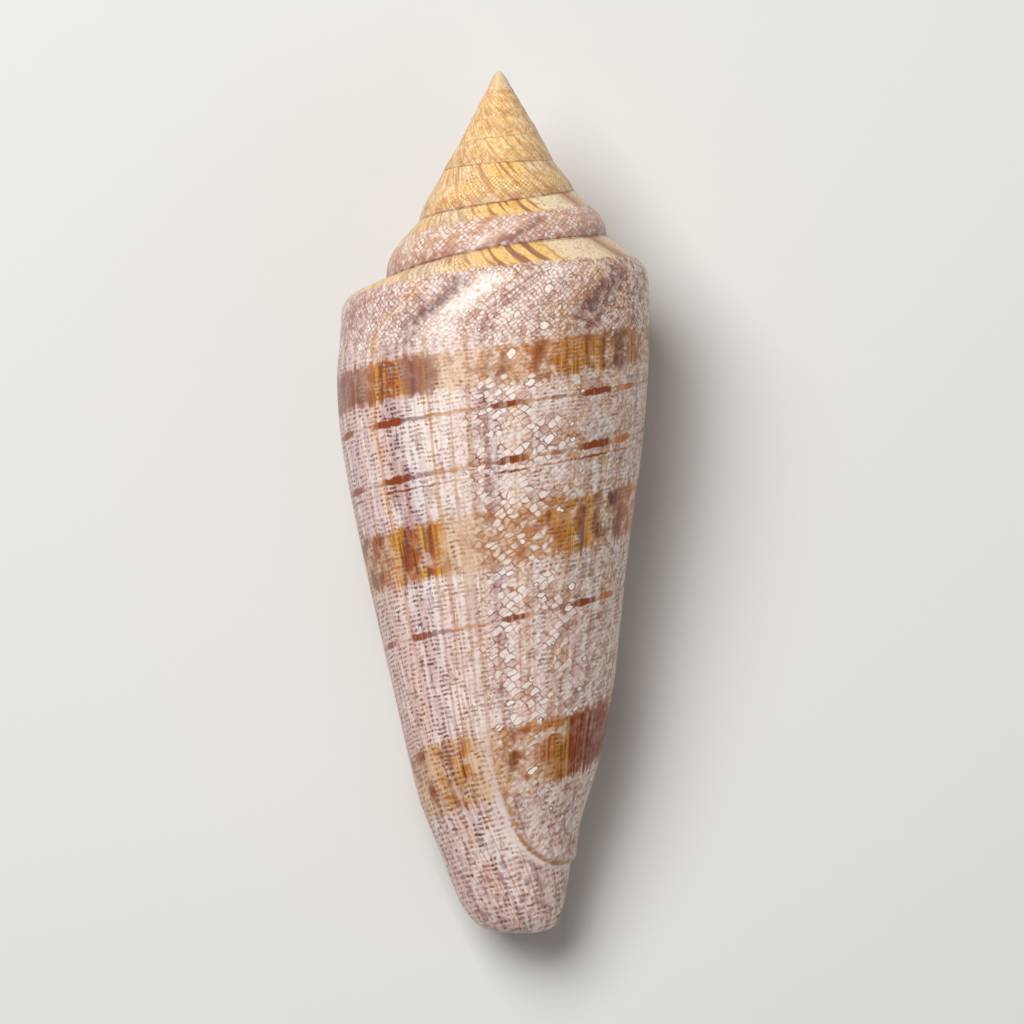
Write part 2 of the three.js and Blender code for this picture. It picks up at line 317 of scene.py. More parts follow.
def buildShell():
    steps, lastRow = mesh["stepsPerTurn"], mesh["shoulderRows"] + mesh["sideRows"]
    turns = coil["spireTurns"]
    bpy.ops.object.select_all(action="DESELECT")
    body = addGrid("body", steps, lastRow, lambda column, row: skin(column / steps, row))
    spire = addGrid("spire", steps * turns, mesh["shoulderRows"],
                    lambda column, row: skin(1 + column / steps, row))

    # the mouth is closed for now by a strip from the lip to the belly
    def mouth(column, row):
        lip, belly = skin(0 * row, row), skin(0 * row + 1, np.maximum(row, mesh["shoulderRows"]))
        return [np.where(column[:, None] < 0.5, a, b) for a, b in zip(lip, belly)]

    mouthWall = addGrid("mouthWall", 1, lastRow, mouth)

    # the base closes in rings, and so does the tip, as a small dome
    column = np.arange(steps + 1)
    baseLoop = skin(column / steps, np.full(steps + 1, lastRow))
    baseRows = mesh["baseRows"]

    def baseClosing(points, row):
        share = (1 - row / baseRows)[:, None]
        return points * np.where([True, False, True], share, 1)

    base = addGrid("base", steps + 1, baseRows, loopShape(baseLoop, baseClosing))
    end = 1 + turns
    around = skin(end - 1 + np.arange(steps) / steps, np.zeros(steps))
    up = skin(np.full(mesh["shoulderRows"], end), np.arange(mesh["shoulderRows"]))
    tipLoop = [np.concatenate(pair) for pair in zip(around, up)]
    tipRows = mesh["tipRows"]

    def tipClosing(points, row):
        left = ((1 - row / tipRows) ** 1.6)[:, None]
        return points * np.where([True, False, True], left**0.62, left)

    tip = addGrid("tip", len(tipLoop[0]), tipRows, loopShape(tipLoop, tipClosing))

    bpy.ops.object.select_all(action="DESELECT")
    for part in (body, spire, mouthWall, base, tip):
        part.select_set(True)
    bpy.context.view_layer.objects.active = body
    bpy.ops.object.join()
    body.name = body.data.name = "coneShell"
    bpy.ops.object.mode_set(mode="EDIT")
    bpy.ops.mesh.select_all(action="SELECT")
    bpy.ops.mesh.remove_doubles(threshold=0.004)
    bpy.ops.mesh.normals_make_consistent(inside=False)
    bpy.ops.object.mode_set(mode="OBJECT")
    return body


def buildHollow():
    steps = mesh["stepsPerTurn"]
    ages = [-wall["mouthOverrun"], 0.001, *(np.arange(1, steps // 4 + 1) / steps)]
    ages += list(np.arange(mesh["hollowSteps"] // 4 + 1, wall["hollowTurns"] * mesh["hollowSteps"] + 1)
                 / mesh["hollowSteps"])
    rings = np.stack([hollowRing(age) for age in ages])
    count = rings.shape[1]

    def shape(column, row):
        points = rings[row.astype(int), column.astype(int) % count]
        none = np.zeros((len(points), 2))
        return points, none, none - 1

    hollow = addGrid("hollow", count, len(ages) - 1, shape)
    bpy.ops.object.mode_set(mode="EDIT")
    bpy.ops.mesh.select_all(action="SELECT")
    bpy.ops.mesh.remove_doubles(threshold=0.001)
    bpy.ops.mesh.fill_holes(sides=0)
    bpy.ops.mesh.select_all(action="SELECT")
    bpy.ops.mesh.normals_make_consistent(inside=False)
    bpy.ops.object.mode_set(mode="OBJECT")
    return hollow


print("rolling the shell")
shell = buildShell()
hollow = buildHollow()
print("shell", len(shell.data.vertices), len(shell.data.polygons), "hollow", len(hollow.data.polygons))

cut = shell.modifiers.new("hollow", "BOOLEAN")
cut.operation, cut.solver, cut.object = "DIFFERENCE", "MANIFOLD", hollow
bpy.context.view_layer.objects.active = shell
bpy.ops.object.modifier_apply(modifier="hollow")
bpy.data.objects.remove(hollow)


def vertexPlaces(piece):
    places = np.zeros(len(piece.data.vertices) * 3, np.float32)
    piece.data.vertices.foreach_get("co", places)
    return places.reshape(-1, 3).astype(float)


def layDown(piece):
    # rolled and tipped onto its mouth, then worn flat where it touches; returns the turn and the shift in mm
    roll = Matrix.Rotation(math.radians(rest["roll"]), 3, "Y")
    turn = Matrix.Rotation(math.radians(rest["tilt"]), 3, "X") @ roll
    points = vertexPlaces(piece) @ np.array(turn).T
    points[:, 2] -= points[:, 2].min() + rest["wornDepth"]
    points[:, 2] = np.maximum(points[:, 2], 0)
    low, high = points.min(0), points.max(0)
    low0, high0 = (np.array(corner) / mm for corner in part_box("shell"))
    across = (low0 + high0 - low - high) / 2 * [1, 1, 0]
    points += across
    # the shift of the axis itself
    own = vertexPlaces(piece)
    lowest = (own @ np.array(turn).T)[:, 2].min() + rest["wornDepth"]
    piece.data.vertices.foreach_set("co", (points * mm).astype(np.float32).ravel())
    return turn, Vector(across) - Vector((0, 0, lowest))


turn, shift = layDown(shell)
print("laid down", shift, len(shell.data.vertices))


def linear(hexColour):
    # an sRGB hex colour as the linear one that a shader takes
    parts = [int(hexColour[i:i + 2], 16) / 255 for i in (1, 3, 5)]
    return [p / 12.92 if p <= 0.04045 else ((p + 0.055) / 1.055) ** 2.4 for p in parts] + [1]


def addNode(tree, kind, inputs=(), stops=(), **settings):
    # a node with its settings; an input is a value, a hex colour, or a node or output that it is linked to
    node = tree.nodes.new("ShaderNode" + kind)
    for name, value in settings.items():
        setattr(node, name, value)
    for key, value in inputs.items() if isinstance(inputs, dict) else enumerate(inputs):
        if isinstance(value, bpy.types.Node):
            value = next(output for output in value.outputs if output.enabled)
        if isinstance(value, bpy.types.NodeSocket):
            tree.links.new(value, node.inputs[key])
        else:
            node.inputs[key].default_value = linear(value) if isinstance(value, str) else value
    for i, (place, name, strength) in enumerate(stops):
        stop = node.color_ramp.elements[i] if i < 2 else node.color_ramp.elements.new(place)
        stop.position = place
        stop.color = linear(colours[name])[:3] + [strength]
    return node


def startMaterial(name):
    material = bpy.data.materials.new(name)
    material.use_nodes = True
    material.node_tree.nodes.clear()
    return material, functools.partial(addNode, material.node_tree)


colours = {
    "white": "#fbefe7",
    "lilac": "#e6cbc8",
    "pink": "#eecfc5",
    "cream": "#fbe9df",
    "beige": "#e2bb9b",
    "amber": "#f0d2c0",
    "pale": "#f0dfdb",
    "dusk": "#d2aea8",
    "greyViolet": "#855958",
    "violet": "#6d474e",
    "blueViolet": "#775f70",
    "tan": "#bd8a61",
    "brown": "#844626",
    "goldBrown": "#c07c30",
    "gold": "#e6a544",
    "orange": "#c06a28",
    "redBrown": "#8f4119",
    "dark": "#5c1d04",
    "darkViolet": "#633c3d",
    "mahogany": "#7c2200",
    "spire": "#fad08d",
    "spireCream": "#f5dfb9",
    "rampGold": "#f7cc78",
    "mauve": "#d3aa96",
    "bandGround": "#e2b47e",
    "bandInk": "#a35a20",
    "tip": "#eadbc8",
    "lining": "#f3ebe6",
    "liningShade": "#e9dcd8",
}

# The markings: sizes and spiral levels in millimetres, and growth ages in turns
marks = {
    "upperZone": (40, 33),  # depths between which the zones under the shoulder and near the base begin
    "lowerZone": (60, 76),
    "rowSpacing": 0.58,
    "rowSway": 0.9,
    "dashLength": 1,
    "columnSpacing": 0.5,  # of the pale lines across the rows
    "cells": (0.85, 0.58),  # of the net, large and small
    "cellLean": 42,        # degrees
    "cellDisorder": 0.58,
    "tentCell": 3.4,
    "tentSizes": (0, 0.66),
    "bands": ((40.3, 45.6), (61.9, 68.8), (89.3, 97)),
    "bandWaver": 2,
    "bandBlur": 0.6,
    "lines": ((48.7, 0.95), (55.9, 0.95), (57.3, 0.3), (75.6, 0.85)),  # and their widths
    "lineWaver": 0.8,
    "spireAges": (0.97, 1.03),
    "goldenAges": (1.75, 2.3),
    "ringCells": (135, 12),  # of the spire's net, per turn and per whorl
    "rampEdge": 0.32,      # where the gold ramp under the suture ends, on the slope
    "rampLean": 0.065,     # turns that its stripes lean over the slope
    "rampStripes": 85,     # per turn
    "stripeTurns": 0.7,    # the stripes below run this far back, and then the same way forward
    "stripeWander": 0.026,
    # growth age, ground, ink of the small marks, and how strong they are
    "stripes": (
        (0, "pink", "brown", 0.8), (0.04, "beige", "violet", 0.9), (0.07, "pink", "brown", 0.8),
        (0.13, "dusk", "greyViolet", 0.95), (0.19, "lilac", "greyViolet", 0.9), (0.2, "pink", "brown", 0.75),
        (0.215, "lilac", "greyViolet", 0.85),
        (0.222, "amber", "orange", 0.95), (0.229, "amber", "orange", 0.95),
        (0.236, "pink", "brown", 0.8), (0.247, "dusk", "violet", 1), (0.26, "dusk", "violet", 1),
        (0.267, "pale", "blueViolet", 0.85), (0.278, "pale", "greyViolet", 0.75),
        (0.294, "cream", "tan", 0.9),
        (0.305, "cream", "brown", 0.7), (0.325, "cream", "tan", 0.8), (0.336, "cream", "brown", 0.9),
        (0.348, "pink", "brown", 0.9), (0.355, "dusk", "violet", 1), (0.367, "cream", "brown", 0.9),
        (0.387, "cream", "goldBrown", 0.8), (0.394, "amber", "brown", 1), (0.42, "amber", "brown", 0.95),
        (0.445, "beige", "brown", 1), (0.475, "beige", "violet", 0.85), (0.5, "beige", "brown", 1),
        (0.53, "beige", "greyViolet", 0.9), (0.56, "pink", "brown", 0.9), (0.6, "beige", "greyViolet", 0.9),
    ),
    # growth age, colour of the bands there, and how solid they are
    "streaks": (
        (0.02, "redBrown", 0.9), (0.05, "orange", 0.9), (0.08, "tan", 0.4), (0.12, "goldBrown", 0.7),
        (0.165, "darkViolet", 0.8), (0.18, "orange", 0.95), (0.2, "redBrown", 0.95),
        (0.208, "goldBrown", 0.75), (0.222, "goldBrown", 0.8), (0.232, "gold", 1), (0.243, "redBrown", 1),
        (0.262, "orange", 1), (0.268, "gold", 1), (0.274, "gold", 1), (0.278, "redBrown", 1),
        (0.286, "orange", 0.95), (0.289, "gold", 0.95), (0.294, "tan", 0.75), (0.305, "tan", 0.5),
        (0.33, "tan", 0.35), (0.36, "brown", 0.6), (0.4, "orange", 0.66),
        (0.445, "goldBrown", 0.95), (0.456, "gold", 1), (0.467, "redBrown", 1),
        (0.482, "gold", 1), (0.49, "redBrown", 0.95), (0.505, "darkViolet", 0.6), (0.53, "redBrown", 1),
        (0.55, "orange", 0.95), (0.575, "tan", 0.4), (0.6, "orange", 0.8),
    ),
    # growth age, and how strong the narrow lines are there
    "blocks": (
        (0.14, "redBrown", 0.3), (0.163, "redBrown", 0.9), (0.185, "redBrown", 0.8), (0.193, "tan", 0.3),
        (0.225, "tan", 0.4), (0.232, "redBrown", 1), (0.262, "redBrown", 1), (0.268, "greyViolet", 0.65),
        (0.292, "greyViolet", 0.55), (0.3, "goldBrown", 0.55), (0.33, "goldBrown", 0.48),
        (0.36, "brown", 0.38),
        (0.368, "brown", 1), (0.392, "redBrown", 0.9), (0.4, "goldBrown", 0.42), (0.43, "brown", 0.6),
        (0.455, "brown", 0.33), (0.464, "redBrown", 1), (0.495, "redBrown", 1), (0.5, "tan", 0.3),
        (0.51, "orange", 0.9), (0.535, "orange", 0.9), (0.545, "tan", 0.3), (0.6, "brown", 0.6),
    ),
    # share of a turn, and the colour of the ramp under the suture there
    "ramp": ((0, "spire", 0.5), (0.1, "spireCream", 0.4), (0.2, "spire", 0.5), (0.27, "spireCream", 0.4),
             (0.33, "spire", 0.6),
             (0.36, "rampGold", 1), (0.425, "rampGold", 1), (0.44, "spireCream", 0), (0.5, "spireCream", 0),
             (0.53, "tan", 0.7), (0.57, "spireCream", 0.1), (0.65, "spire", 0.6), (0.8, "mauve", 0.5),
             (1, "spire", 0.5)),
    "tipDepths": (2.9, 1.1),
    # growth age, width and colour of the streaks across the shoulder; the white ones are partly real pale
    # streaks and partly a painted highlight where the shoulder catches the light
    "shoulderStreaksAndHighlight": ((0.276, 0.019, "violet"), (0.308, 0.026, "white"), (0.47, 0.03, "violet"),
                        (1.333, 0.026, "white"), (1.38, 0.02, "violet")),
}


def shellMaterial():
    # aragonite, cleaned and polished: hard white porcelain with brown pigment that the animal laid down at
    # its lip, so every mark follows a growth line or a spiral row, under one smooth gloss
    material, add = startMaterial("polishedAragonite")
    soft = {"interpolation_type": "SMOOTHSTEP"}
    times, plus, minus = ({"operation": name} for name in ("MULTIPLY", "ADD", "SUBTRACT"))
    most, least = {"operation": "MAXIMUM"}, {"operation": "MINIMUM"}

    growthMap = add("SeparateXYZ", [add("UVMap", uv_map="growth")])
    placeMap = add("SeparateXYZ", [add("UVMap", uv_map="place")])
    age, profile = growthMap.outputs[0], placeMap.outputs[0]
    level = add("Math", (growthMap.outputs[1], 100), **times)
    depth = add("Math", (placeMap.outputs[1], 100), **times)

    # the shell's own millimetres with the axis along Y, and the skin unrolled flat, in millimetres
    own = add("Mapping", [add("TexCoord").outputs["Object"], shift * mm, turn.to_euler(), (mm, mm, mm)],
              vector_type="TEXTURE")
    slopeAngle = add("Math", (add("Math", (profile, 1), **least), math.pi), **times)
    slopeLag = add("Math", (add("Math", [slopeAngle], operation="SINE"), 2), operation="POWER")
    baseLag = add("MapRange", (depth, coil["baseLagTop"], coil["length"]))
    baseLag = add("Math", (baseLag, 2), operation="POWER")
    turns = add("Math", (slopeLag, coil["shoulderNotchTurns"], age), operation="MULTIPLY_ADD")
    turns = add("Math", (baseLag, coil["baseLagTurns"], turns), operation="MULTIPLY_ADD")

    def growthNoise(perTurn, drift, seed, detail=2):
        # uneven stripes along the growth lines, which wander a little from level to level
        place = add("CombineXYZ", (add("Math", (age, perTurn, seed), operation="MULTIPLY_ADD"),
                                   add("Math", (level, drift), **times), 0))
        return add("TexNoise", {"Vector": place, "Scale": 1, "Detail": detail}, noise_dimensions="2D")

    patches = add("TexNoise", {"Vector": own, "Scale": 0.2, "Detail": 2})
    flecks = add("TexNoise", {"Vector": own, "Scale": 0.9, "Detail": 3})
    blotches = add("TexNoise", {"Vector": own, "Scale": 0.42, "Detail": 2})
    grain = add("TexNoise", {"Vector": own, "Scale": 2.4, "Detail": 1})
    fine = growthNoise(170, 0.03, 1, 3)

    # how far inside the old lip, which ends in a rounded lobe at the base
    corner, perTurn = relief["oldLipCorner"], relief["oldLipTurn"]
    across = add("Math", (age, -perTurn, corner + relief["oldLipAge"] * perTurn), operation="MULTIPLY_ADD")
    along = add("Math", (depth, relief["oldLipBase"] - corner), **minus)
    beyond = add("CombineXYZ", [add("Math", (side, 0), **most) for side in (across, along)])
    inside = add("Math", (corner, add("VectorMath", [beyond], operation="LENGTH").outputs["Value"]), **minus)
    ragged = add("MapRange", (depth, 78, 92, 8, 0.6))
    oldEdge = add("Math", (add("Math", (flecks, 0.5), **minus), ragged, inside), operation="MULTIPLY_ADD")
    fade = add("MapRange", (depth, 78, 92, 1.8, 0.4))
    older = add("MapRange", (add("Math", (oldEdge, fade), operation="DIVIDE"), -1, 1), **soft)
    since = add("MapRange", (add("Math", (oldEdge, 0), operation="GREATER_THAN"), 0, 1, 0.2, 0.6))
    girth = add("MapRange", (level, 30, 110, 126, 38))
    around = add("Math", (add("Math", (turns, since), **minus), girth), **times)
    bend = add("TexNoise", {"Vector": own, "Scale": 0.7, "Detail": 1}).outputs["Color"]
    flat = add("CombineXYZ", (around, level, 0))
    bent = add("VectorMath", (bend, (0.8, 0.8, 0), flat), operation="MULTIPLY_ADD")
    upper = add("MapRange", (depth, *marks["upperZone"]), **soft)
    lower = add("MapRange", (depth, *marks["lowerZone"]), **soft)

    # stripes of growth, each with its own ground and ink
    wander = add("Math", (growthNoise(5, 0.11, 4), 0.5), **minus)
    strayAge = add("Math", (wander, marks["stripeWander"], age), operation="MULTIPLY_ADD")
    stripeAge = add("Math", (strayAge, marks["stripeTurns"]), operation="PINGPONG")
    stripeShare = add("Math", (stripeAge, 1 / marks["stripeTurns"]), **times)
    grounds = [(at / marks["stripeTurns"], ground, 1) for at, ground, ink, strength in marks["stripes"]]
    inks = [(at / marks["stripeTurns"], ink, strength) for at, ground, ink, strength in marks["stripes"]]
    ground = add("ValToRGB", [stripeShare], grounds)
    inkRamp = add("ValToRGB", [stripeShare], inks)
    browner = add("Math", (add("Math", (upper, 0.6), **times), add("Math", (lower, 0.4), **times)), **most)
    ink = add("Mix", {0: browner, 6: inkRamp, 7: colours["brown"]}, data_type="RGBA")
    inkStrength = add("Math", (inkRamp.outputs["Alpha"], add("Math", (lower, 0.85), **times)), **most)
    clouds = add("MapRange", (blotches, 0.5, 0.62, 0, 0.65), **soft)
    layers = [(add("Math", (lower, 0.55), **times), colours["pink"]), (clouds, colours["lilac"])]
    layers.append((add("MapRange", (patches, 0.47, 0.4, 0, 0.5), **soft), colours["white"]))
    pinstripes = growthNoise(120, 0.02, 7, 2)
    layers.append((add("MapRange", (pinstripes, 0.54, 0.66, 0, 0.5), **soft), colours["tan"]))
    layers.append((add("MapRange", (pinstripes, 0.44, 0.34, 0, 0.6), **soft), colours["white"]))

    # the bands, of streaks along the growth lines, with uneven edges
    stray = add("Math", (flecks, 0.5), **minus)
    waver = add("Math", (stray, marks["bandWaver"], level), operation="MULTIPLY_ADD")
    fineStray = add("Math", (fine, 0.5), **minus)
    waver = add("Math", (fineStray, marks["bandWaver"], waver), operation="MULTIPLY_ADD")
    bands, blur = None, marks["bandBlur"]
    for low, high in marks["bands"]:
        top = add("MapRange", (waver, low - blur, low + blur), **soft)
        band = add("Math", (top, add("MapRange", (waver, high + blur, high - blur), **soft)), **times)
        bands = add("Math", (bands, band), **most) if bands else band
    streakRamp = add("ValToRGB", [stripeShare], [(at / marks["stripeTurns"], name, solid)
                                                  for at, name, solid in marks["streaks"]])
    darker = add("MapRange", (fine, 0.52, 0.36), **soft)
    streaks = add("Mix", {0: add("Math", (darker, 0.6), **times), 6: streakRamp, 7: colours["dark"]},
                  data_type="RGBA")
    streaks = add("Mix", {0: add("MapRange", (fine, 0.57, 0.68, 0, 0.6), **soft), 6: streaks,
                          7: colours["gold"]}, data_type="RGBA")
    solid = add("MapRange", (blotches, 0.3, 0.7, -0.45, 0.3))
    solid = add("Math", (solid, streakRamp.outputs["Alpha"]), **plus)
    faded = add("Math", (lower, add("MapRange", (age, 0.34, 0.33, 0, -0.3))), **times)
    solid = add("Math", (solid, faded), **plus)
    bandShare = add("Math", (bands, add("MapRange", (solid, 0.35, 0.95), **soft)), **times)
    layers.append((add("Math", (bands, 0.6), **times), colours["bandGround"]))
    layers.append((bandShare, streaks))

    # the dark block at the end of the lowest band, and the violet patches of the highest one
    dusk = add("Math", (add("MapRange", (depth, 78, 83), **soft),
                        add("MapRange", (age, 0.45, 0.48), **soft)), **times)
    dusk = add("Math", (dusk, add("MapRange", (fine, 0.4, 0.6, 1, 0.7))), **times)
    dusk = add("Math", (bands, dusk), **times)
    layers.append((dusk, colours["mahogany"]))
    bandShare = add("Math", (bandShare, dusk), **most)
    olderPatch = add("Math", (add("MapRange", (stripeAge, 0.26, 0.27), **soft),
                              add("MapRange", (stripeAge, 0.312, 0.298), **soft)), **times)
    youngerPatch = add("Math", (add("MapRange", (stripeAge, 0.12, 0.16, 0, 0.75), **soft),
                                add("MapRange", (stripeAge, 0.246, 0.218), **soft)), **times)
    patch = add("Math", (olderPatch, youngerPatch), **most)
    patch = add("Math", (patch, add("MapRange", (depth, 47, 45, 0, 0.7))), **times)
    layers.append((add("Math", (bands, patch), **times), colours["greyViolet"]))

    # rows of short dashes, crossed by pale lines of growth, like a weave
    sway = add("TexNoise", {"Vector": own, "Scale": 0.5, "Detail": 3})
    row = add("Math", (sway, marks["rowSway"], level), operation="MULTIPLY_ADD")
    row = add("Math", (row, 1 / marks["rowSpacing"]), **times)
    rowNumber = add("Math", [row], operation="FLOOR")
    middle = add("Math", (add("Math", (row, rowNumber), **minus), 0.5), **minus)
    middle = add("Math", [middle], operation="ABSOLUTE")
    dashPlace = add("CombineXYZ", (add("Math", (around, 1 / marks["dashLength"]), **times),
                                   add("Math", (rowNumber, 7.31), **times), 0))
    dashNoise = add("TexNoise", {"Vector": dashPlace, "Scale": 1, "Detail": 1}, noise_dimensions="2D")
    column = add("CombineXYZ", (add("Math", (around, 1 / marks["columnSpacing"]), **times),
                                add("Math", (level, 0.3), **times), 0))
    columns = add("TexNoise", {"Vector": column, "Scale": 1, "Detail": 1}, noise_dimensions="2D")
    dashes = add("Math", (add("MapRange", (dashNoise, 0.3, 0.5, 0.15, 1), **soft),
                          add("MapRange", (middle, 0.46, 0.1), **soft)), **times)
    dashes = add("Math", (dashes, add("MapRange", (columns, 0.6, 0.46, 0.25, 1), **soft)), **times)
    threads = add("Math", (add("MapRange", (columns, 0.4, 0.3), **soft), 0.6), **times)
    dashes = add("Math", (add("Math", (dashes, threads), **most), inkStrength), **times)
    thick = add("Math", (add("MapRange", (blotches, 0.3, 0.7, 1.2, 0.75)),
                         add("MapRange", (grain, 0.3, 0.65, 0.5, 1.2))), **times)
    thick = add("Math", (thick, add("MapRange", (depth, 96, 102, 1, 0.9))), **times)
    dashes = add("Math", (dashes, thick), **times)

    # the net: leaning cells, large and small in patches, finer far back and at the base, some of them white
    coarse = add("Math", (add("MapRange", (age, 0.42, 0.5, 1, 0.2)),
                          add("MapRange", (depth, 84, 92, 1, 0.2))), **times)
    large = add("Math", (add("MapRange", (patches, 0.44, 0.52), **soft),
                         add("Math", (bands, 0.6), **times)), **most)
    large = add("Math", (large, coarse), **times)
    large = add("Math", (large, add("Math", (1, upper), **minus)), **times)
    netLines, netTones = [], []
    lineEdge = add("MapRange", (bands, 0, 1, 0.24, 0.45))
    ring = add("CombineXYZ", (add("Math", (turns, marks["ringCells"][0]), **times),
                              add("Math", (profile, marks["ringCells"][1]), **times), 0))
    for vector, size in ((bent, marks["cells"][0]), (bent, marks["cells"][1]), (ring, 1)):
        leaning = add("VectorRotate", {"Vector": vector, "Angle": math.radians(marks["cellLean"])},
                      rotation_type="Z_AXIS")
        cellInputs = {"Vector": leaning, "Scale": 1 / size, "Randomness": marks["cellDisorder"]}
        cells = [add("TexVoronoi", cellInputs, feature=kind, distance="CHEBYCHEV", voronoi_dimensions="2D")
                 for kind in ("F1", "F2")]
        gap = add("Math", (cells[1], cells[0]), **minus)
        netLines.append(add("MapRange", (gap, lineEdge, 0.05), **soft))
        netTones.append(add("SeparateColor", [cells[0].outputs["Color"]]))
    netLine = add("Mix", {0: large, 2: netLines[1], 3: netLines[0]})
    netLine = add("Math", (netLine, add("MapRange", (flecks, 0.35, 0.6, 0.45, 1.1))), **times)
    netTone = add("Mix", {0: large, 2: netTones[1], 3: netTones[0]})
    netZone = add("Math", (add("Math", (older, upper), **most),
                           add("MapRange", (add("Math", (large, upper), **most), 0, 1, 0.45, 1))), **times)
    netZone = add("Math", (netZone, add("MapRange", (bandShare, 0.3, 0.8, 1, 0.15))), **times)
    dashes = add("Math", (dashes, add("MapRange", (dusk, 0, 0.6, 1, 0.1))), **times)
    layers.append((add("Math", (dashes, add("MapRange", (netZone, 0, 1, 1, 0.4))), **times), ink))
    whiteCells = add("Math", (add("MapRange", (netTone, 0.5, 0.7), **soft), netZone), **times)
    dimCells = add("Math", (add("MapRange", (netTone, 0.3, 0.15), **soft), netZone), **times)
    stains = add("Math", (add("MapRange", (flecks, 0.5, 0.62, 0, 0.4), **soft), netZone), **times)
    stains = add("Math", (stains, add("MapRange", (coarse, 0.2, 1, 1, 0.3))), **times)
    whiteShare = add("Math", (add("MapRange", (upper, 0, 1, 1, 0.6)),
                              add("MapRange", (coarse, 0.2, 1, 0.88, 0.7))), **times)
    layers.append((stains, ink))
    baseStains = add("Math", (add("MapRange", (flecks, 0.5, 0.64, 0, 0.5), **soft),
                              add("MapRange", (depth, 96, 101), **soft)), **times)
    layers.append((baseStains, colours["greyViolet"]))
    layers.append((add("Math", (whiteCells, whiteShare), **times), colours["white"]))
    layers.append((add("Math", (dimCells, add("MapRange", (coarse, 0.2, 1, 0.55, 0.3))), **times), ink))
    bandInk = add("Mix", {0: bands, 6: ink, 7: colours["bandInk"]}, data_type="RGBA")
    netShare = add("Math", (add("Math", (netLine, netZone), **times), 0.8), **times)
    layers.append((netShare, bandInk))

    # white tents with dark edges
    tentInputs = {"Vector": bent, "Scale": 1 / marks["tentCell"], "Exponent": 1.35, "Randomness": 0.9}
    cells = add("TexVoronoi", tentInputs, distance="MINKOWSKI", voronoi_dimensions="2D")
    chance = add("SeparateColor", [cells.outputs["Color"]])
    size = add("MapRange", (chance, 0.45, 1, *marks["tentSizes"]))
    size = add("Math", (size, add("MapRange", (coarse, 0.2, 1, 0.35, 1))), **times)
    size = add("Math", (size, add("MapRange", (bandShare, 0.3, 0.7, 0, 0.8))), **minus)
    over = add("Math", (add("Math", (cells, marks["tentCell"]), **times), size), **minus)
    rim = add("Math", (add("MapRange", (over, 0.22, 0.08), **soft), older), **times)
    layers.append((add("Math", (rim, 0.7), **times), bandInk))
    tents = add("Math", (add("MapRange", (over, 0.06, -0.06), **soft), older), **times)
    layers.append((tents, colours["white"]))

    # narrow spiral lines, broken into blocks
    blockRamp = add("ValToRGB", [stripeShare], [(at / marks["stripeTurns"], name, strength)
                                                 for at, name, strength in marks["blocks"]])
    lineLevel = add("Math", (stray, marks["lineWaver"], level), operation="MULTIPLY_ADD")
    narrow = None
    for line, width in marks["lines"]:
        away = add("Math", [add("Math", (lineLevel, line), **minus)], operation="ABSOLUTE")
        half = add("Math", (blockRamp.outputs["Alpha"], width / 2), **times)
        overLine = add("Math", (away, half), **minus)
        narrow = add("Math", (narrow, overLine), **least) if narrow else overLine
    lineShare = add("Math", (add("MapRange", (narrow, 0.12, -0.12), **soft),
                             add("MapRange", (fine, 0.3, 0.5, 0.65, 1), **soft)), **times)
    blockShare = add("MapRange", (blockRamp.outputs["Alpha"], 0.3, 0.9, 0.45, 1))
    lineShare = add("Math", (lineShare, blockShare), **times)
    layers.append((lineShare, blockRamp.outputs["Color"]))

    # the edge where the shell once stopped growing: a pale line with a brown one beside it
    pale = add("Math", (add("MapRange", (inside, -1.1, -0.5), **soft),
                        add("MapRange", (inside, 0.05, -0.2), **soft)), **times)
    burnt = add("Math", (add("MapRange", (inside, -0.15, 0.1), **soft),
                         add("MapRange", (inside, 0.75, 0.3), **soft)), **times)
    edgeEnd = add("MapRange", (age, 0.8, 0.5), **soft)
    edgeEnd = add("Math", (edgeEnd, add("MapRange", (flecks, 0.38, 0.58, 0.45, 1))), **times)
    for line, low, high, name in ((pale, 0.1, 0.85, "pale"), (burnt, 0.1, 0.8, "goldBrown")):
        line = add("Math", (line, edgeEnd), **times)
        line = add("Math", (line, add("MapRange", (depth, 80, 96, low, high))), **times)
        layers.append((line, colours[name]))

    # the spire: pink whorls turning to gold, under a fine brown net
    onSpire = add("MapRange", (age, *marks["spireAges"]), **soft)
    golden = add("MapRange", (age, *marks["goldenAges"]), **soft)
    spireGround = add("Mix", {0: golden, 6: colours["mauve"], 7: colours["spire"]}, data_type="RGBA")
    layers.append((onSpire, spireGround))
    paleClouds = add("Math", (add("MapRange", (blotches, 0.5, 0.6, 0, 0.7), **soft),
                              add("Math", (onSpire, golden), **minus)), **times)
    layers.append((paleClouds, colours["cream"]))
    paleCells = add("Math", (onSpire, add("MapRange", (netTones[2], 0.5, 0.75, 0, 0.7), **soft)), **times)
    layers.append((paleCells, add("Mix", {0: golden, 6: colours["cream"], 7: colours["spireCream"]},
                                  data_type="RGBA")))

    # violet and white streaks across the shoulder; the white ones are partly real pale streaks and partly a
    # painted highlight where the shoulder catches the light
    onShoulder = add("Math", (add("MapRange", (profile, 0.35, 0.55), **soft),
                              add("MapRange", (depth, 38, 31), **soft)), **times)
    onShoulder = add("Math", (onShoulder, add("MapRange", (flecks, 0.35, 0.6, 0.2, 0.75), **soft)), **times)
    for middleAge, width, name in marks["shoulderStreaksAndHighlight"]:
        away = add("Math", [add("Math", (strayAge, middleAge), **minus)], operation="ABSOLUTE")
        streak = add("MapRange", (away, width, width * 0.2), **soft)
        layers.append((add("Math", (streak, onShoulder), **times), colours[name]))

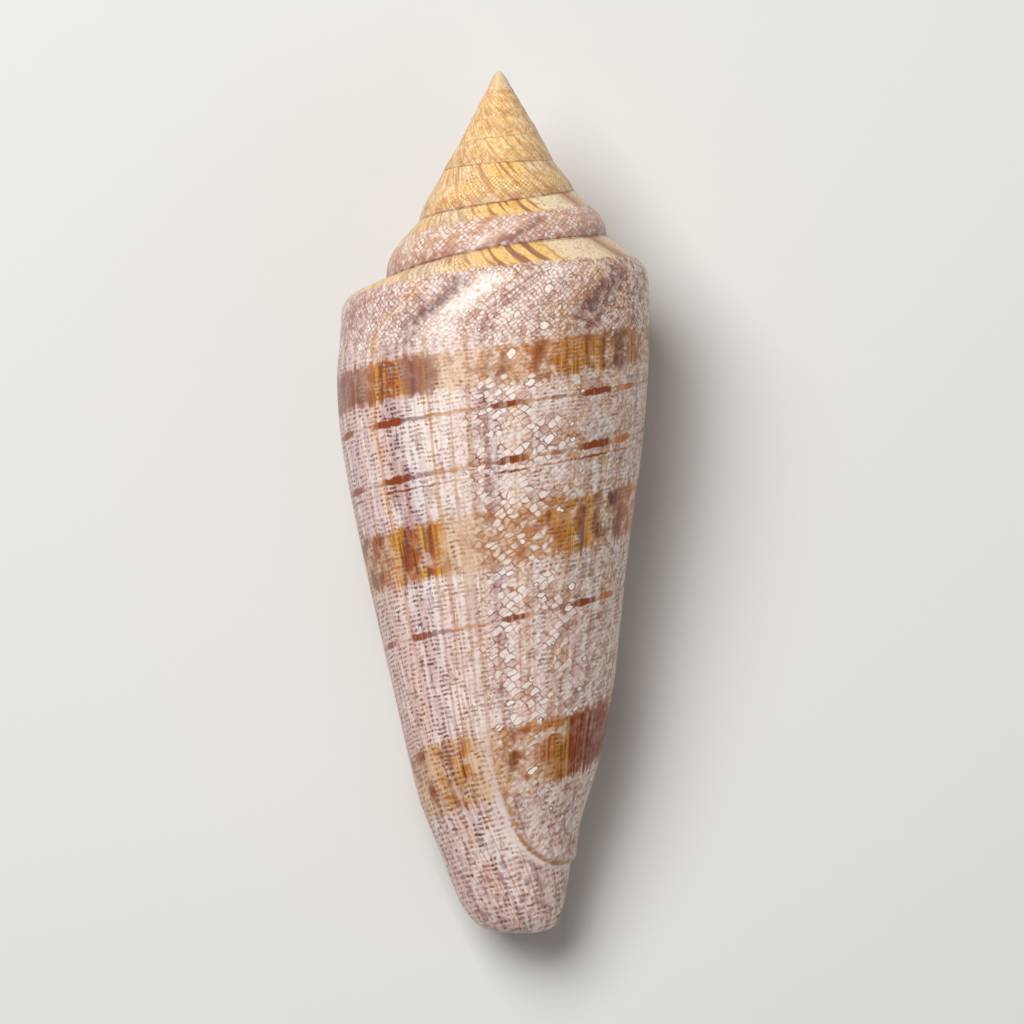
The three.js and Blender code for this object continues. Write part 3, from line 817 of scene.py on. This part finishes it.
    # the ramp under the suture: gold with slanting brown stripes, then blank cream
    leaning = add("Math", (profile, -marks["rampLean"], turns), operation="MULTIPLY_ADD")
    turnShare = add("Math", [leaning], operation="FRACT")
    rampRamp = add("ValToRGB", [turnShare], marks["ramp"])
    slant = add("CombineXYZ", (add("Math", (leaning, marks["rampStripes"]), **times), profile, 0))
    slants = add("TexNoise", {"Vector": slant, "Scale": 1, "Detail": 2}, noise_dimensions="2D")
    rampColour = add("Mix", {0: add("Math", (add("MapRange", (slants, 0.52, 0.4, 0, 0.9), **soft),
                                             rampRamp.outputs["Alpha"]), **times),
                             6: rampRamp, 7: colours["brown"]}, data_type="RGBA")
    rampEdge = add("Math", (stray, 0.12, profile), operation="MULTIPLY_ADD")
    onRamp = add("MapRange", (rampEdge, marks["rampEdge"] + 0.05, marks["rampEdge"] - 0.03), **soft)
    rampShare = add("Math", (onRamp, add("MapRange", (age, 2.2, 2.9, 0.9, 0.3))), **times)
    layers.append((rampShare, rampColour))
    netCover = add("MapRange", (blotches, 0.35, 0.65, 0.3, 0.72), **soft)
    rampNet = add("Mix", {0: onSpire, 2: netLines[1], 3: netLines[2]})
    rampNet = add("Math", (rampNet, add("Math", (onSpire, onRamp), **most)), **times)
    blank = add("Math", (add("MapRange", (turnShare, 0.3, 0.37), **soft), onRamp), **times)
    rampNet = add("Math", (rampNet, add("MapRange", (blank, 0, 1, 1, 0.15))), **times)
    layers.append((add("Math", (rampNet, netCover), **times), colours["brown"]))
    flames = add("Math", (add("MapRange", (slants, 0.5, 0.36, 0, 0.6), **soft), golden), **times)
    layers.append((flames, colours["tan"]))
    smudges = add("Math", (add("MapRange", (flecks, 0.48, 0.62, 0, 0.3), **soft), onSpire), **times)
    layers.append((smudges, colours["goldBrown"]))
    specks = add("Math", (add("MapRange", (grain, 0.54, 0.66, 0, 0.45), **soft),
                          add("Math", (onSpire, upper), **most)), **times)
    layers.append((specks, colours["goldBrown"]))
    lowEdge = add("Math", (add("MapRange", (profile, 0.6, 1), **soft),
                           add("MapRange", (age, 4.5, 1.5), **soft)), **times)
    lowEdge = add("Math", (lowEdge, add("MapRange", (flecks, 0.35, 0.6, 0.1, 0.5), **soft)), **times)
    layers.append((add("Math", (lowEdge, onSpire), **times), colours["greyViolet"]))
    # dark lines painted along both sides of each suture on the spire: painted shade in the crease where one
    # whorl steps down onto the next
    spireProfile = add("Math", (profile, onSpire), **times)
    sutureShade = add("Math", (add("MapRange", (profile, 0.035, 0.012), **soft),
                        add("MapRange", (spireProfile, 0.965, 0.99), **soft)), **most)
    sutureShade = add("Math", (sutureShade, add("MapRange", (profile, 1, 1.005, 1, 0))), **times)
    sutureShade = add("Math", (sutureShade, add("MapRange", (age, 1.5, 7, 1, 0))), **times)
    sutureShade = add("Math", (sutureShade, add("MapRange", (flecks, 0.35, 0.6, 0.25, 0.6))), **times)
    layers.append((sutureShade, colours["dark"]))
    layers.append((add("MapRange", (depth, *marks["tipDepths"]), **soft), colours["tip"]))

    colour = ground
    for share, over in layers:
        colour = add("Mix", {0: share, 6: colour, 7: over}, data_type="RGBA")

    # growth lines, as relief too fine for the mesh
    bump = add("Bump", {"Strength": 0.3, "Distance": 0.03 * mm, "Height": growthNoise(420, 0.03, 0, 3)})
    surface = add("BsdfPrincipled", {"Base Color": colour, "Normal": bump, "Roughness": 0.36, "IOR": 1.55,
                                      "Specular IOR Level": 0.25})
    add("OutputMaterial", [surface])
    return material


def liningMaterial():
    # the smooth inner layer of aragonite that the animal polished: faintly clouded white porcelain, glossy
    material, add = startMaterial("porcelainLining")
    cloud = add("TexNoise", {"Vector": add("TexCoord").outputs["Object"], "Scale": 90, "Detail": 2})
    colour = add("Mix", {0: cloud, 6: colours["lining"], 7: colours["liningShade"]}, data_type="RGBA")
    surface = add("BsdfPrincipled", {"Base Color": colour, "Roughness": 0.25, "IOR": 1.55})
    add("OutputMaterial", [surface])
    return material


shell.data.materials.clear()
shell.data.materials.append(shellMaterial())
shell.data.materials.append(liningMaterial())
corners = np.zeros(len(shell.data.loops) * 2, np.float32)
shell.data.uv_layers["place"].uv.foreach_get("vector", corners)
starts = np.zeros(len(shell.data.polygons), np.int32)
shell.data.polygons.foreach_get("loop_start", starts)
inside = corners.reshape(-1, 2)[starts, 0] < -0.5
shell.data.polygons.foreach_set("material_index", inside.astype(np.int32))
bpy.ops.object.select_all(action="DESELECT")
shell.select_set(True)
bpy.context.view_layer.objects.active = shell
bpy.ops.object.shade_smooth_by_angle(angle=math.radians(40))
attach(shell, "root")
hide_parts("shell")
print("shell finished")

# Where the photograph has the shell, in its own pixels
photo = {"size": 1024, "tip": (499, 71), "pixelsPerMm": 7.827, "leanDegrees": 1.9, "lens": 200, "sensor": 36}


def addCamera():
    lean = math.radians(photo["leanDegrees"])
    right = Vector((math.cos(lean), -math.sin(lean), 0))
    up = Vector((math.sin(lean), math.cos(lean), 0))
    across, below = (photo["size"] / 2 - pixel for pixel in photo["tip"])
    target = right * (across / photo["pixelsPerMm"]) - up * (below / photo["pixelsPerMm"])
    distance = photo["size"] / photo["pixelsPerMm"] / photo["sensor"] * photo["lens"]
    eye = target + Vector((0, 0, distance))
    camera = bpy.data.objects.new("camera", bpy.data.cameras.new("camera"))
    scene.collection.objects.link(camera)
    camera.data.lens, camera.data.sensor_width = photo["lens"], photo["sensor"]
    camera.data.clip_start = 0.01
    look = Matrix((right, up, right.cross(up))).transposed()
    camera.matrix_world = Matrix.Translation((turn @ eye + shift) * mm) @ (turn @ look).to_4x4()
    scene.camera = camera


studio = {
    "lights": (("key", (-0.19, 0.26, 0.62), 0.45, 5.2), ("fill", (0.5, -0.3, 0.5), 0.6, 0.8)),
    "worldLight": 0.15,
    "floorSize": 3,
    "paper": "#dedcd8",
    "paperRoughness": 0.8,
}


def addFloor():
    bpy.ops.mesh.primitive_plane_add(size=studio["floorSize"])
    floor = bpy.context.object
    floor.name = "floor"
    material = bpy.data.materials.new("mattPaper")
    material.use_nodes = True
    surface = material.node_tree.nodes["Principled BSDF"]
    surface.inputs["Base Color"].default_value = linear(studio["paper"])
    surface.inputs["Roughness"].default_value = studio["paperRoughness"]
    floor.data.materials.append(material)


def addLights():
    for name, place, size, power in studio["lights"]:
        light = bpy.data.objects.new(name, bpy.data.lights.new(name, "AREA"))
        light.data.size, light.data.energy = size, power
        light.location = place
        light.rotation_euler = (-Vector(place)).to_track_quat("-Z", "Y").to_euler()
        scene.collection.objects.link(light)
    world = bpy.data.worlds.new("studio")
    world.use_nodes = True
    world.node_tree.nodes["Background"].inputs[0].default_value = (1, 1, 1, 1)
    world.node_tree.nodes["Background"].inputs[1].default_value = studio["worldLight"]
    scene.world = world


addFloor()
addLights()
addCamera()
scene.view_settings.view_transform = "Standard"
